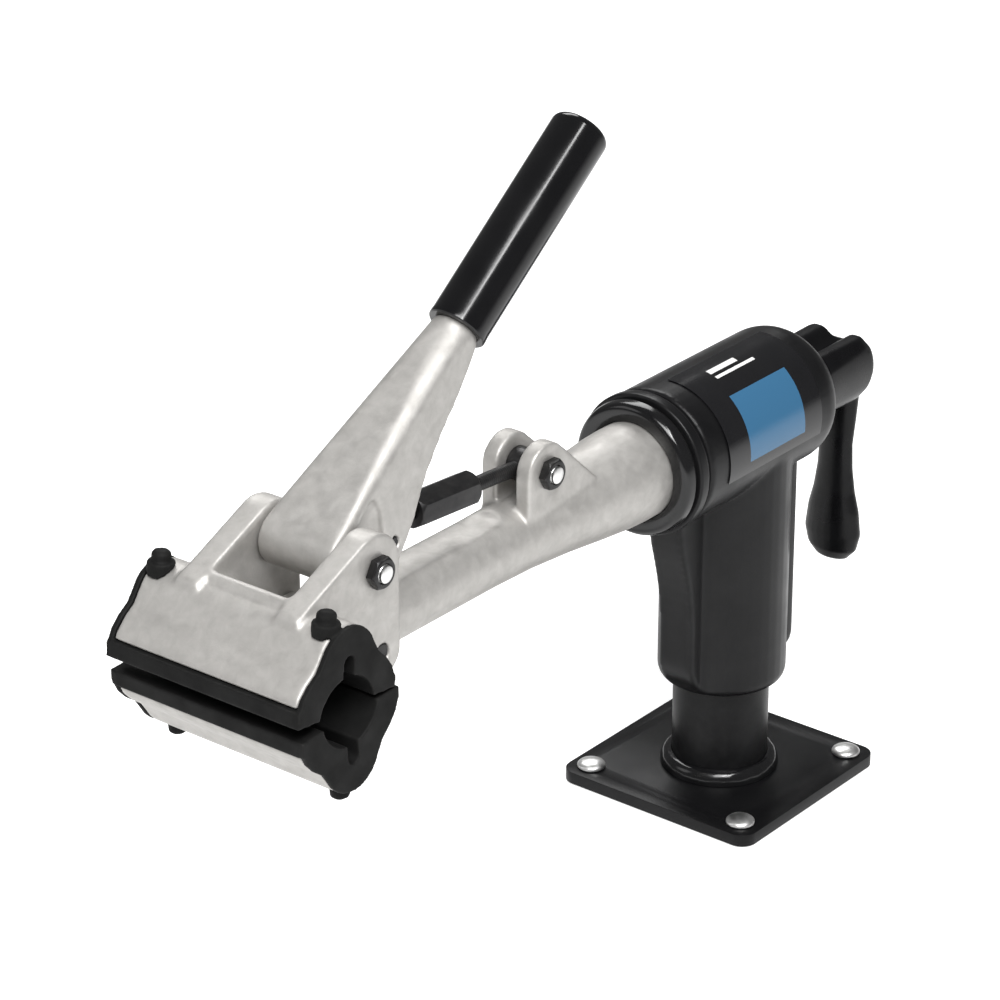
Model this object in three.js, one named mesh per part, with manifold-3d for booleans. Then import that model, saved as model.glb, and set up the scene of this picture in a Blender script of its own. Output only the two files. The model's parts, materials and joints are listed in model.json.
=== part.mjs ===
// Bench-mounted bike repair stand: a bolted base plate and post carry a cast head, and a cast clamp with an
// adjustable linkage turns in the head's barrel. Millimetres, +Z up. The origin is the middle of the base
// plate's underside, X runs along the jaws, and Y runs along the barrel from the jaws to the lock handle.
import * as THREE from "three";
import { mergeVertices } from "three/addons/utils/BufferGeometryUtils.js";
import Module from "manifold-3d";

const wasm = await Module();
wasm.setup();

const GAP = 0.3; // running clearance between pieces that touch

// Base plate, its bolts and the post
const PLATE = { side: 127, thickness: 7, corner: 8, boltSpacing: 101.6 };
const BOLT = { shank: 3.2, hole: 3.6, head: 8, dome: 4.2 };
const POST = { radius: 26.6, bore: 22.6, top: 156 };
const WELD = { radius: 33, height: 8 };

// Head casting: a socket on the post below a horizontal barrel
const AXIS_Z = 215.4; // height of the barrel's axis
const SOCKET = { bottom: 63, radius: 35.5, bore: 27, depth: 98 };
const RIB = { halfWidth: 11, front: -44.5, rear: 53.3 };
const BARREL = { radius: 38.7, front: -67.5, rear: 58, bore: 30.5, wallStart: 46, screwHole: 10.5 };
const SET_SCREW = { radius: 4, hole: 4.3, heights: [95, 135], end: 46 };
const LABEL = { front: -52, rear: 32, from: -4, to: 104, thickness: 0.35 };

// Clamp shaft and what it runs in
const SHAFT = { radius: 26.7, rear: 40, screwBore: 8.4, boreFront: -20 };
const BUSH = { inner: 27, outer: 30.2 };
const COLLAR = { radius: 37.5, front: -87.2, rear: -80 };
const LOCK_SCREW = { radius: 8, front: -12, rear: 98 };

// Lock handle
const HUB = { front: 61.6, rear: 115, radius: 22.5 };
const PADDLE = { y: 106, flatness: 0.52, bottom: 92 };

// Pivots of the clamp's four-bar linkage, as [y, z]
const JAW_PIVOT = [-332, 219];
const LEVER_PIVOT = [-336, 264];
const LINK_PIVOT = [-302, 260.5];
const REAR_PIVOT = [-176.5, 251];
const PIN = { radius: 4.75, hole: 5.05 };

// Jaws and their covers. Each jaw has its own frame: u runs to its front, v away from the tube it grips.
const UPPER_JAW = { y: -383.5, z: 221.3, tilt: 5.4, up: 1, nubAt: 7.5, nubTop: 45.6, flange: 7 };
const LOWER_JAW = { y: -381, z: 211.5, tilt: 3.4, up: -1, nubAt: 1.5, nubTop: 44, flange: 5 };
const JAW = { halfLength: 57, wall: 5, crown: 18.5, crownCentre: 19.5, lip: 5 };
const COVER = { halfLength: 60.3, flange: 3, lip: 34.6, frontFace: -3.5, rearFace: -2 };
const GROOVE = { radius: 19.5, centre: -6.5 };
const SLOT = { halfWidth: 3.8, end: 19.8 };
const NUB = { x: 51.3, stem: 3.2, head: 4.9, tip: 3.6, flangeFrom: 33, flangeTop: 40 };
const EAR = { inner: 24, outer: 38.3, radius: 18.5, foot: 13.5 };
const JAW_PIN_END = 37.2; // the jaw pin's ends sit just inside the cheeks' faces

// Lever, in its own frame: y runs along the handle from the lever pivot, z to the handle's front
const LEVER = { angle: 37.2, halfWidth: 23.3, neck: 12.5, neckEnd: 130.7, axis: -2.1, channel: 8.5 };
const GRIP = { radius: 15.3, core: 11, end: 256 };

// Adjustable link: a hex turnbuckle between two eyes
const LINK = { rod: 4, eye: 9, eyeHalfWidth: 5.4, pinRadius: 3, clearance: 7.9 };
const HEX = { radius: 9.8, from: 44, to: 90 };
const REAR_EAR = { inner: 6, outer: 15.5, radius: 15.5 };
const NUT = { radius: 8.4, height: 5 };

const finishes = {
  silver: { color: 0xcfccc6, roughness: 0.42, metalness: 0.9 },
  blackCoat: { color: 0x1b1b1c, roughness: 0.45, metalness: 0.2 },
  blackPlastic: { color: 0x121213, roughness: 0.3, metalness: 0 },
  blackSteel: { color: 0x222224, roughness: 0.4, metalness: 0.8 },
  bright: { color: 0xdadada, roughness: 0.18, metalness: 1 },
  rubber: { color: 0x3a3a3a, roughness: 0.75, metalness: 0 },
  vinyl: { color: 0x0d0d0e, roughness: 0.2, metalness: 0 },
  bronze: { color: 0x9a7440, roughness: 0.4, metalness: 0.8 },
  label: { color: 0x2a628c, roughness: 0.25, metalness: 0 },
};

const X_AXIS = new THREE.Vector3(1, 0, 0);
const Y_AXIS = new THREE.Vector3(0, 1, 0);
const Z_AXIS = new THREE.Vector3(0, 0, 1);
const radians = THREE.MathUtils.degToRad;

// ---- Shapes and solids ----

// A closed outline through points [a, b] or [a, b, corner radius].
function outline(points) {
  const shape = new THREE.Shape();
  const corner = (p, q, cut) => {
    const a = new THREE.Vector2(p[0], p[1]);
    const b = new THREE.Vector2(q[0], q[1]);
    return a.lerp(b, Math.min(0.5, cut / a.distanceTo(b)));
  };
  points.forEach((p, i) => {
    const cut = p[2] || 0;
    const before = corner(p, points[(i + points.length - 1) % points.length], cut);
    const after = corner(p, points[(i + 1) % points.length], cut);
    if (i === 0) shape.moveTo(before.x, before.y);
    else shape.lineTo(before.x, before.y);
    if (cut) shape.quadraticCurveTo(p[0], p[1], after.x, after.y);
  });
  shape.closePath();
  return shape;
}

function disc(a, b, radius) {
  return new THREE.Shape().absarc(a, b, radius, 0, 2 * Math.PI, false);
}

function extrude(shape, depth, curveSegments) {
  return new THREE.ExtrudeGeometry(shape, { depth, bevelEnabled: false, curveSegments });
}

// A (y, z) outline drawn out along X.
function alongX(shape, x0, x1, curveSegments = 5) {
  const basis = new THREE.Matrix4().makeBasis(Y_AXIS, Z_AXIS, X_AXIS);
  return solid(extrude(shape, x1 - x0, curveSegments).applyMatrix4(basis).translate(x0, 0, 0));
}

// An (x, z) outline drawn out along Y.
function alongY(shape, y0, y1, curveSegments = 5) {
  const basis = new THREE.Matrix4().makeBasis(X_AXIS, Z_AXIS, Y_AXIS.clone().negate());
  return solid(extrude(shape, y1 - y0, curveSegments).applyMatrix4(basis).translate(0, y1, 0));
}

// An (x, y) outline drawn out along Z.
function alongZ(shape, z0, z1, curveSegments = 5) {
  return solid(extrude(shape, z1 - z0, curveSegments).translate(0, 0, z0));
}

// A profile of [radius, y] points turned about the Y axis.
function turned(profile, segments = 32) {
  return new THREE.LatheGeometry(profile.map(([r, y]) => new THREE.Vector2(r, y)), segments);
}

// Turned about the barrel's axis.
function onBarrel(profile, segments = 36) {
  return solid(turned(profile, segments).translate(0, 0, AXIS_Z));
}

// Turned about the post's axis.
function onPost(profile, segments = 36) {
  return solid(turned(profile, segments).rotateX(Math.PI / 2));
}

// A round bar along X through the point [y, z].
function barX([y, z], radius, x0, x1, segments = 24) {
  const bar = new THREE.CylinderGeometry(radius, radius, x1 - x0, segments);
  return solid(bar.rotateZ(Math.PI / 2).translate((x0 + x1) / 2, y, z));
}

// A round bar along Y.
function barY(x, z, radius, y0, y1, segments = 24) {
  const bar = new THREE.CylinderGeometry(radius, radius, y1 - y0, segments);
  return solid(bar.translate(x, (y0 + y1) / 2, z));
}

// A closed geometry as a solid with its faces pointing out.
function solid(geometry) {
  const bare = geometry.clone();
  bare.deleteAttribute("normal");
  bare.deleteAttribute("uv");
  const merged = mergeVertices(bare, 1e-4);
  const triangles = [];
  for (let i = 0; i < merged.index.count; i += 3) {
    const [a, b, c] = merged.index.array.slice(i, i + 3);
    if (a !== b && b !== c && c !== a) triangles.push(a, b, c);
  }
  const vertProperties = merged.attributes.position.array;
  const made = (list) =>
    new wasm.Manifold(new wasm.Mesh({ numProp: 3, vertProperties, triVerts: new Uint32Array(list) }));
  const first = made(triangles);
  return first.volume() > 0 ? first : made(triangles.reverse());
}

const join = (...parts) => parts.reduce((sum, part) => sum.add(part));
const cut = (body, ...tools) => tools.reduce((rest, tool) => rest.subtract(tool), body);

function geometryOf(body) {
  const { numVert, numProp, vertProperties, triVerts } = body.getMesh();
  const positions = new Float32Array(numVert * 3);
  for (let i = 0; i < numVert; i++) {
    positions.set(vertProperties.subarray(i * numProp, i * numProp + 3), i * 3);
  }
  const geometry = new THREE.BufferGeometry();
  geometry.setAttribute("position", new THREE.BufferAttribute(positions, 3));
  geometry.setIndex(new THREE.BufferAttribute(new Uint32Array(triVerts), 1));
  geometry.computeVertexNormals();
  return geometry;
}

const stand = new THREE.Group();

function addPiece(name, body, finish, parent = stand) {
  const mesh = new THREE.Mesh(geometryOf(body), new THREE.MeshStandardMaterial(finishes[finish]));
  mesh.name = name;
  parent.add(mesh);
}

// ---- Base plate, bolts and post ----

const boltAt = PLATE.boltSpacing / 2;
const boltPlaces = [[-boltAt, -boltAt], [-boltAt, boltAt], [boltAt, -boltAt], [boltAt, boltAt]];

function basePlate() {
  const h = PLATE.side / 2;
  const corners = [[-h, -h], [h, -h], [h, h], [-h, h]].map(([x, y]) => [x, y, PLATE.corner * 1.2]);
  const holes = boltPlaces.map(([x, y]) => alongZ(disc(x, y, BOLT.hole), -1, PLATE.thickness + 1, 10));
  return cut(alongZ(outline(corners), 0, PLATE.thickness), ...holes);
}

// A carriage bolt: a low domed head over a plain shank that ends inside the plate.
function mountingBolt(x, y) {
  const seat = PLATE.thickness + GAP;
  const profile = [[0, GAP], [BOLT.shank, GAP], [BOLT.shank, seat], [BOLT.head, seat]];
  for (const t of [0.35, 0.65, 0.88]) {
    profile.push([BOLT.head * Math.sqrt(1 - t * t), seat + BOLT.dome * t]);
  }
  profile.push([0, seat + BOLT.dome]);
  return onPost(profile, 20).translate([x, y, 0]);
}

function weldBead() {
  const base = PLATE.thickness + GAP;
  const inner = POST.radius + GAP;
  return onPost([
    [inner, base], [WELD.radius, base], [WELD.radius - 0.6, base + 2.6], [WELD.radius - 2.2, base + 5.2],
    [inner + 1.6, base + WELD.height], [inner, base + WELD.height], [inner, base],
  ]);
}

function postTube() {
  const base = PLATE.thickness + GAP;
  return onPost([
    [POST.bore, base], [POST.radius, base], [POST.radius, POST.top], [POST.bore, POST.top], [POST.bore, base],
  ]);
}

addPiece("base_plate", basePlate(), "blackCoat");
boltPlaces.forEach(([x, y], i) => addPiece(`mounting_bolt_${i + 1}`, mountingBolt(x, y), "bright"));
addPiece("weld_bead", weldBead(), "blackCoat");
addPiece("post_tube", postTube(), "blackCoat");

// ---- Head casting and what it holds ----

function headCasting() {
  const { bottom, radius, depth } = SOCKET;
  const socket = onPost([
    [0, bottom], [radius - 5, bottom], [radius - 2.4, bottom + 0.8], [radius - 0.8, bottom + 2.6],
    [radius, bottom + 5.5], [radius, AXIS_Z], [0, AXIS_Z],
  ]);
  const rib = alongX(outline([
    [RIB.rear, bottom, 9], [RIB.rear, AXIS_Z], [-58, AXIS_Z], [-58, 170, 20], [RIB.front, 124, 25],
    [RIB.front, bottom + 14, 10], [-33, bottom + 1, 6],
  ]), -RIB.halfWidth, RIB.halfWidth, 6);
  const barrel = onBarrel([
    [0, BARREL.front], [BARREL.radius - 1, BARREL.front], [BARREL.radius, BARREL.front + 1],
    [BARREL.radius, BARREL.rear - 16], [BARREL.radius - 0.9, BARREL.rear - 11.5],
    [BARREL.radius - 3, BARREL.rear - 7.5], [BARREL.radius - 6, BARREL.rear - 4],
    [BARREL.radius - 10, BARREL.rear - 1.2], [BARREL.radius - 14, BARREL.rear], [0, BARREL.rear],
  ], 48);
  const bores = [
    onPost([
      [0, bottom - 5], [SOCKET.bore, bottom - 5], [SOCKET.bore, bottom + depth], [0, bottom + depth],
    ]),
    barY(0, AXIS_Z, BARREL.bore, BARREL.front - 1, BARREL.wallStart, 48),
    barY(0, AXIS_Z, BARREL.screwHole, 0, BARREL.rear + 1),
    ...SET_SCREW.heights.map((z) => barY(0, z, SET_SCREW.hole, 10, RIB.rear + 1, 16)),
  ];
  return cut(join(socket, rib, barrel), ...bores);
}

// A set screw with a hex socket in its outer end.
function setScrew(z) {
  const screw = barY(0, z, SET_SCREW.radius, POST.radius + GAP, SET_SCREW.end, 16);
  return cut(screw, barY(0, z, 2.3, SET_SCREW.end - 4, SET_SCREW.end + 1, 6));
}

// The printed label, a thin sheet wrapped over the barrel; angles run from the top towards +X.
function headLabel() {
  const inner = BARREL.radius + GAP;
  const outer = inner + LABEL.thickness;
  const start = radians(90 - LABEL.to);
  const end = radians(90 - LABEL.from);
  const sheet = new THREE.Shape();
  sheet.absarc(0, AXIS_Z, outer, start, end, false);
  sheet.absarc(0, AXIS_Z, inner, end, start, true);
  sheet.closePath();
  return alongY(sheet, LABEL.front, LABEL.rear, 20);
}

const ring = (inner, outer, y0, y1, segments) =>
  onBarrel([[inner, y0], [outer, y0], [outer, y1], [inner, y1], [inner, y0]], segments);

const bush = (y0, y1) => ring(BUSH.inner, BUSH.outer, y0, y1, 24);

function frontRing() {
  const inner = SHAFT.radius + 0.5;
  return onBarrel([[inner, -77.6], [38.4, -77.6], [39.4, -76.6], [39.4, -71.6], [38.4, -70.6], [37, -70.6],
    [37, -67.8], [inner, -67.8], [inner, -77.6]]);
}

addPiece("head_casting", headCasting(), "blackCoat");
SET_SCREW.heights.forEach((z, i) => addPiece(`post_set_screw_${i + 1}`, setScrew(z), "blackSteel"));
addPiece("head_label", headLabel(), "label");
addPiece("front_bush", bush(-66, -40), "bronze");
addPiece("rear_bush", bush(12, 38), "bronze");
addPiece("front_ring", frontRing(), "blackCoat");

// ---- Lock handle ----

// The hub's section has two lobes with a dip between them; a flattened, club-shaped paddle hangs from it.
function lockHandle() {
  const { front, rear, radius } = HUB;
  const lobe = [[0, 224.5], [5.5, 228, 4], [8, 233.5, 4], [19.5, 233.5, 8], [radius, 222, 5]];
  const half = [...lobe, [radius, AXIS_Z - 2, 6], [19, 199, 8], [9, 191, 6]];
  const section = outline([...half, ...half.slice(1).reverse().map(([x, z, round]) => [-x, z, round])]);
  const envelope = onBarrel([
    [0, front], [21, front], [23.8, front + 3], [24.6, 100], [23, 106.5], [18.5, 112], [10, rear - 0.4],
    [0, rear],
  ], 32);
  const club = turned([
    [0, PADDLE.bottom], [10, PADDLE.bottom + 2.4], [15.6, PADDLE.bottom + 8.5], [18, PADDLE.bottom + 18],
    [16.4, 124], [13.4, 136], [11.4, 150], [10.8, 165], [12.5, 182], [14, 200], [0, 206],
  ], 24);
  club.rotateX(Math.PI / 2).scale(1, PADDLE.flatness, 1).translate(0, PADDLE.y, 0);
  const lobeEnds = alongX(
    outline([[101.5, 242], [103.5, 233, 3], [107, 226.5, 4], [118, 222.5], [118, 242]]), -30, 30,
  );
  const screwHole = barY(0, AXIS_Z, LOCK_SCREW.radius + GAP, 50, LOCK_SCREW.rear + GAP, 32);
  return cut(join(alongY(section, front, rear).intersect(envelope), solid(club)), lobeEnds, screwHole);
}

addPiece("rear_washer", ring(8.8, 21, BARREL.rear + GAP, HUB.front - GAP, 28), "bright");
addPiece("lock_handle", lockHandle(), "blackPlastic");
const lockScrew = barY(0, AXIS_Z, LOCK_SCREW.radius, LOCK_SCREW.front, LOCK_SCREW.rear, 32);
addPiece("lock_screw", lockScrew, "blackSteel");

// ---- Jaws ----

// A point of a jaw's frame as [y, z].
function jawPoint(jaw, u, v) {
  const c = Math.cos(radians(jaw.tilt));
  const s = Math.sin(radians(jaw.tilt));
  return [jaw.y - u * c + v * s, jaw.z + jaw.up * (u * s + v * c)];
}

// The half outline of the bell-shaped jaw, from its lip up to the start of its crown, moved in by an inset.
function flare(inset) {
  return [[33.3, 5, 1, 0], [31.2, 10, 0.9, 0.45], [26.6, 15.5, 0.7, 0.7], [20.8, 20.3, 0.75, 0.65]].map(
    ([u, v, du, dv]) => [u - inset * du, v - inset * dv],
  );
}

// The whole bell from front lip to rear lip.
function bell(inset) {
  const front = flare(inset);
  const crown = [];
  for (let a = 22; a <= 158; a += 13.6) {
    const r = JAW.crown - inset;
    crown.push([r * Math.cos(radians(a)), JAW.crownCentre + r * Math.sin(radians(a))]);
  }
  return [...front, ...crown, ...front.map(([u, v]) => [-u, v]).reverse()];
}

const jawOutline = (jaw, points) => outline(points.map(([u, v]) => jawPoint(jaw, u, v)));

// The room inside a jaw that its cover fills, open at the mouth.
function jawRoom(jaw) {
  const side = COVER.lip + 0.4;
  const top = JAW.lip - 0.05;
  const points = [[side, -20], [side, top], ...bell(JAW.wall), [-side, top], [-side, -20]];
  return alongX(jawOutline(jaw, points), -COVER.halfLength - 1, COVER.halfLength + 1);
}

const jawShell = (jaw) => alongX(jawOutline(jaw, bell(0)), -JAW.halfLength, JAW.halfLength);

// Half of a cover's inside edge, from the mouth up: a round groove for a tube, then a slot at its root.
function grooveEdge(face) {
  const { radius, centre } = GROOVE;
  const start = Math.asin((face - centre) / radius);
  const end = Math.acos(SLOT.halfWidth / radius);
  const half = [];
  for (let i = 0; i <= 8; i++) {
    const a = start + ((end - start) * i) / 8;
    half.push([radius * Math.cos(a), centre + radius * Math.sin(a)]);
  }
  for (const a of [0, 30, 60]) {
    half.push([SLOT.halfWidth * Math.cos(radians(a)), SLOT.end + SLOT.halfWidth * Math.sin(radians(a))]);
  }
  return half;
}

// A round bar along a jaw's v direction, at the place of one of its cover's nubs.
function nubBar(jaw, side, radius, from, to) {
  const bar = new THREE.CylinderGeometry(radius, radius, to - from, 14).translate(0, (from + to) / 2, 0);
  const [y0, z0] = jawPoint(jaw, jaw.nubAt, 0);
  const [y1, z1] = jawPoint(jaw, jaw.nubAt, 1);
  return solid(bar.rotateX(Math.atan2(z1 - z0, y1 - y0)).translate(side * NUB.x, y0, z0));
}

function jawCover(jaw) {
  const { frontFace, rearFace } = COVER;
  const rearEdge = grooveEdge(rearFace).map(([u, v]) => [-u, v]);
  const inside = [...rearEdge, [0, SLOT.end + SLOT.halfWidth], ...grooveEdge(frontFace).reverse()];
  const section = (lip, top, inset) =>
    [[lip, frontFace], [lip, top], ...bell(inset), [-lip, top], [-lip, rearFace], ...inside];
  const lining = section(COVER.lip, JAW.lip - GAP, JAW.wall + GAP);
  const flange = section(COVER.lip - 0.3, JAW.lip - 1, 0);
  const end = COVER.halfLength;
  const start = end - COVER.flange;
  const outside = alongX(jawOutline(jaw, bell(-GAP)), -end, end);
  const nubs = [-1, 1].flatMap((side) => [
    nubBar(jaw, side, NUB.stem, 28, jaw.nubTop - 1),
    nubBar(jaw, side, NUB.tip, NUB.flangeFrom, jaw.nubTop).subtract(outside),
    nubBar(jaw, side, NUB.head, NUB.flangeFrom, jaw.nubTop - 1.2).subtract(outside),
    nubBar(jaw, side, jaw.flange, NUB.flangeFrom, NUB.flangeTop).subtract(outside),
  ]);
  return join(
    alongX(jawOutline(jaw, lining), -start - 0.1, start + 0.1),
    alongX(jawOutline(jaw, flange), start, end),
    alongX(jawOutline(jaw, flange), -end, -start),
    ...nubs,
  );
}

const nubHoles = (jaw) => [-1, 1].map((side) => nubBar(jaw, side, NUB.stem + GAP, 25, 45));

// ---- Upper jaw: a bell-shaped shell with two cheeks that hold the jaw pivot and the lever pivot ----

function upperJaw() {
  const [py, pz] = JAW_PIVOT;
  const [ly, lz] = LEVER_PIVOT;
  const cheek = (x0, x1) => join(
    alongX(disc(ly - 1, lz, EAR.radius), x0, x1, 14),
    alongX(disc(py, pz, EAR.foot), x0, x1, 12),
    alongX(outline([
      [py + EAR.foot, pz], [py + EAR.foot, 258, 4], [ly, lz], [ly - 8, lz + EAR.radius - 1.5],
      [-377.8, 265.7], [-392, 259.5], [-396, 250], [-364, 236], [-349, 226, 4], [py - EAR.foot, pz],
    ]), x0, x1),
  );
  const ledgeOutline = outline([[-387, 256], [-384.5, 263, 2], [-380.5, 263, 2], [-374, 252]]);
  const ledge = alongX(ledgeOutline, -EAR.inner - 1, EAR.inner + 1);
  const body = join(jawShell(UPPER_JAW), cheek(-EAR.outer, -EAR.inner), cheek(EAR.inner, EAR.outer), ledge);
  const holes = [barX(LEVER_PIVOT, PIN.hole, -50, 50), barX(JAW_PIVOT, PIN.hole, -50, 50)];
  return cut(body, jawRoom(UPPER_JAW), ...holes, ...nubHoles(UPPER_JAW));
}

// ---- Clamp arm: lower jaw, round arm, rear ears and shaft in one casting ----

function clampArm() {
  const [py, pz] = JAW_PIVOT;
  const bar = onBarrel([
    [0, -343], [17.6, -343], [18.8, -341], [18.8, -215], [19.5, -185], [21.6, -155], [24.4, -128],
    [26.2, -108], [SHAFT.radius, -96], [SHAFT.radius, SHAFT.rear], [0, SHAFT.rear],
  ], 40);
  const flat = alongX(outline([[-350, 231.4], [-204, 231.4, 6], [-198, 240], [-350, 240]]), -20, 20);
  const boss = barX(JAW_PIVOT, EAR.foot - 0.3, -EAR.inner + 0.5, EAR.inner - 0.5, 32);
  const neck = alongX(outline([
    [-366, 186], [-340, 191, 10], [-318, 199, 10], [-318, 214], [py, pz], [-341, 212], [-350, 207],
    [-366, 200],
  ]), -22, 22);
  const [ry, rz] = REAR_PIVOT;
  const ear = (x0, x1) => join(
    alongX(disc(ry, rz, REAR_EAR.radius), x0, x1, 14),
    alongX(outline([
      [ry - REAR_EAR.radius, rz], [ry - REAR_EAR.radius, 222], [-128, 222], [-133, 231.5, 3],
      [ry + 11, rz + 10.9], [ry, rz],
    ]), x0, x1),
  );
  const body = join(
    cut(bar, flat), boss, neck, jawShell(LOWER_JAW),
    ear(-REAR_EAR.outer, -REAR_EAR.inner), ear(REAR_EAR.inner, REAR_EAR.outer),
  );
  return cut(
    body, jawRoom(LOWER_JAW), ...nubHoles(LOWER_JAW),
    barX(JAW_PIVOT, PIN.hole, -50, 50), barX(REAR_PIVOT, PIN.hole, -50, 50),
    barY(0, AXIS_Z, SHAFT.screwBore, SHAFT.boreFront, SHAFT.rear + 1, 32),
  );
}

// A black collar on the shaft with a rounded front edge.
function shaftCollar() {
  const inner = SHAFT.radius + GAP;
  const { radius, front, rear } = COLLAR;
  return onBarrel([[inner, front + 1.2], [inner + 2, front], [radius - 3.4, front], [radius - 1, front + 1.2],
    [radius, front + 3.6], [radius, rear - 0.8], [radius - 0.8, rear], [inner, rear], [inner, front + 1.2]]);
}

// A hexagon of a bolt head or a nut along X, with turned-down corners.
function hexagon([y, z], x0, x1) {
  const hex = barX([y, z], NUT.radius, x0, x1, 6);
  const outward = x1 > 0 ? 1 : -1;
  const [base, tip] = outward > 0 ? [x0, x1] : [x1, x0];
  const dome = [[0, base], [NUT.radius, base], [NUT.radius, tip - outward * 1.4],
    [NUT.radius - 1.6, tip], [0, tip]];
  return hex.intersect(solid(turned(dome, 24).rotateZ(-Math.PI / 2).translate(0, y, z)));
}

// A bolt along X with its head at the left.
function crossBolt(place, reach) {
  const shank = barX(place, PIN.radius, -reach - 1, reach + NUT.height + 1.5);
  return join(shank, hexagon(place, -reach - GAP - NUT.height, -reach - GAP));
}

const crossNut = (place, reach) =>
  cut(hexagon(place, reach + GAP, reach + GAP + NUT.height), barX(place, PIN.radius + 0.2, reach, reach + 9));

addPiece("clamp_arm", clampArm(), "silver");
addPiece("lower_jaw_cover", jawCover(LOWER_JAW), "rubber");
addPiece("shaft_collar", shaftCollar(), "blackCoat");
addPiece("friction_washer", ring(SHAFT.radius + GAP, 36, COLLAR.rear + GAP, -77.6 - GAP, 32), "blackSteel");
addPiece("jaw_pin", barX(JAW_PIVOT, PIN.radius, -JAW_PIN_END, JAW_PIN_END), "blackSteel");
addPiece("rear_link_bolt", crossBolt(REAR_PIVOT, REAR_EAR.outer), "bright");
addPiece("rear_link_nut", crossNut(REAR_PIVOT, REAR_EAR.outer), "bright");
addPiece("upper_jaw", upperJaw(), "silver");
addPiece("upper_jaw_cover", jawCover(UPPER_JAW), "rubber");
addPiece("lever_bolt", crossBolt(LEVER_PIVOT, EAR.outer), "bright");
addPiece("lever_nut", crossNut(LEVER_PIVOT, EAR.outer), "bright");

// ---- Lever ----

const leverFrame = new THREE.Group();
leverFrame.position.set(0, ...LEVER_PIVOT);
leverFrame.rotation.x = radians(LEVER.angle);
stand.add(leverFrame);

// The link pivot in the lever's frame.
const linkPivot = new THREE.Vector2(LINK_PIVOT[0] - LEVER_PIVOT[0], LINK_PIVOT[1] - LEVER_PIVOT[1])
  .rotateAround(new THREE.Vector2(), -radians(LEVER.angle))
  .toArray();

function lever() {
  const { halfWidth, neck, neckEnd, axis, channel } = LEVER;
  const [ly, lz] = linkPivot;
  const side = join(
    alongX(disc(0, 2.5, 14.5), -halfWidth, halfWidth, 16),
    alongX(outline([
      [0, 17], [60, 14.6], [neckEnd, axis + neck], [neckEnd, axis - neck],
      [112, -14.2], [84, -16.6], [62, -20.8], [46, -26.5, 6],
      [ly + 13, lz - 8, 5], [ly + 7, lz - 12, 4], [ly - 8, lz - 10, 4], [ly - 13, lz + 4, 6], [0, -12],
    ]), -halfWidth, halfWidth),
  );
  const plan = alongZ(outline([
    [-20, -halfWidth], [8, -halfWidth, 8], [112, -neck - 0.6, 8], [140, -neck], [140, neck],
    [112, neck + 0.6, 8], [8, halfWidth, 8], [-20, halfWidth],
  ].map(([y, x]) => [x, y])), -50, 50);
  const round = barY(0, axis, neck, 104, neckEnd, 32);
  const core = barY(0, axis, GRIP.core, neckEnd - 1, GRIP.end - 6, 24);
  // Tapering elliptical envelopes take the square corners off, more at the front than at the rear.
  const taper = (radius) => {
    const cone = new THREE.CylinderGeometry(neck + 0.1, radius, neckEnd + 30, 32);
    return solid(cone.translate(0, (neckEnd - 30) / 2, 0).scale(1, 1, 0.92).translate(0, 0, axis));
  };
  const rearHalf = alongX(outline([[-40, -60], [140, -60], [140, axis - 4], [-40, axis - 4]]), -30, 30);
  const envelope = join(taper(34.5), taper(52).intersect(rearHalf));
  const shell = join(side.intersect(plan).intersect(envelope), round, core);
  const recess = outline([[ly + 5.5, 9, 3], [ly - 17, 8.5], [ly - 6, -16], [ly + 5, -1, 4]]);
  const hollow = alongX(outline([
    [ly - 16, lz - 25], [ly - 16, lz + 9, 5], [ly - 7, lz + 16, 4], [40, -5.5, 4], [98, -5.5, 4], [98, -35],
    [60, -60],
  ]), -channel, channel);
  return cut(
    shell, hollow,
    alongX(recess, halfWidth - 5, 30), alongX(recess, -30, -halfWidth + 5),
    barX([0, 0], PIN.hole, -30, 30), barX([ly, lz], LINK.pinRadius + GAP, -30, 30),
  );
}

function leverGrip() {
  const { radius, core, end } = GRIP;
  const start = LEVER.neckEnd + GAP;
  const inner = core + GAP;
  return solid(turned([
    [inner, start], [radius - 0.8, start], [radius, start + 0.8], [radius, end - 4],
    [radius - 1.2, end - 1.2], [radius - 4, end], [0, end], [0, end - 6 + GAP], [inner, end - 6 + GAP],
    [inner, start],
  ], 32).translate(0, 0, LEVER.axis));
}

addPiece("lever", lever(), "silver", leverFrame);
addPiece("lever_grip", leverGrip(), "vinyl", leverFrame);
addPiece("link_pin", barX(linkPivot, LINK.pinRadius, -20.5, 20.5), "blackSteel", leverFrame);

// ---- Adjustable link, along -Y of its own frame from the rear pivot ----

const linkReach = new THREE.Vector2(LINK_PIVOT[0] - REAR_PIVOT[0], LINK_PIVOT[1] - REAR_PIVOT[1]);
const linkFrame = new THREE.Group();
linkFrame.position.set(0, ...REAR_PIVOT);
linkFrame.rotation.x = -Math.atan2(linkReach.y, -linkReach.x);
stand.add(linkFrame);

function linkEnd(eyeAt, eyeRadius, holeRadius, rodFrom, rodTo) {
  const body = join(
    barX([eyeAt, 0], eyeRadius, -LINK.eyeHalfWidth, LINK.eyeHalfWidth, 28),
    barY(0, 0, LINK.rod, rodFrom, rodTo, 20),
  );
  return cut(body, barX([eyeAt, 0], holeRadius, -20, 20, 28));
}

function turnbuckle() {
  const { radius, from, to } = HEX;
  const bevel = [
    [0, -to], [radius - 2, -to], [radius, -to + 3], [radius, -from - 3], [radius - 2, -from], [0, -from],
  ];
  const hex = barY(0, 0, radius, -to, -from, 6).intersect(solid(turned(bevel, 24)));
  return cut(hex, barY(0, 0, LINK.rod + GAP, -to - 1, -from + 1, 20));
}

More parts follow.
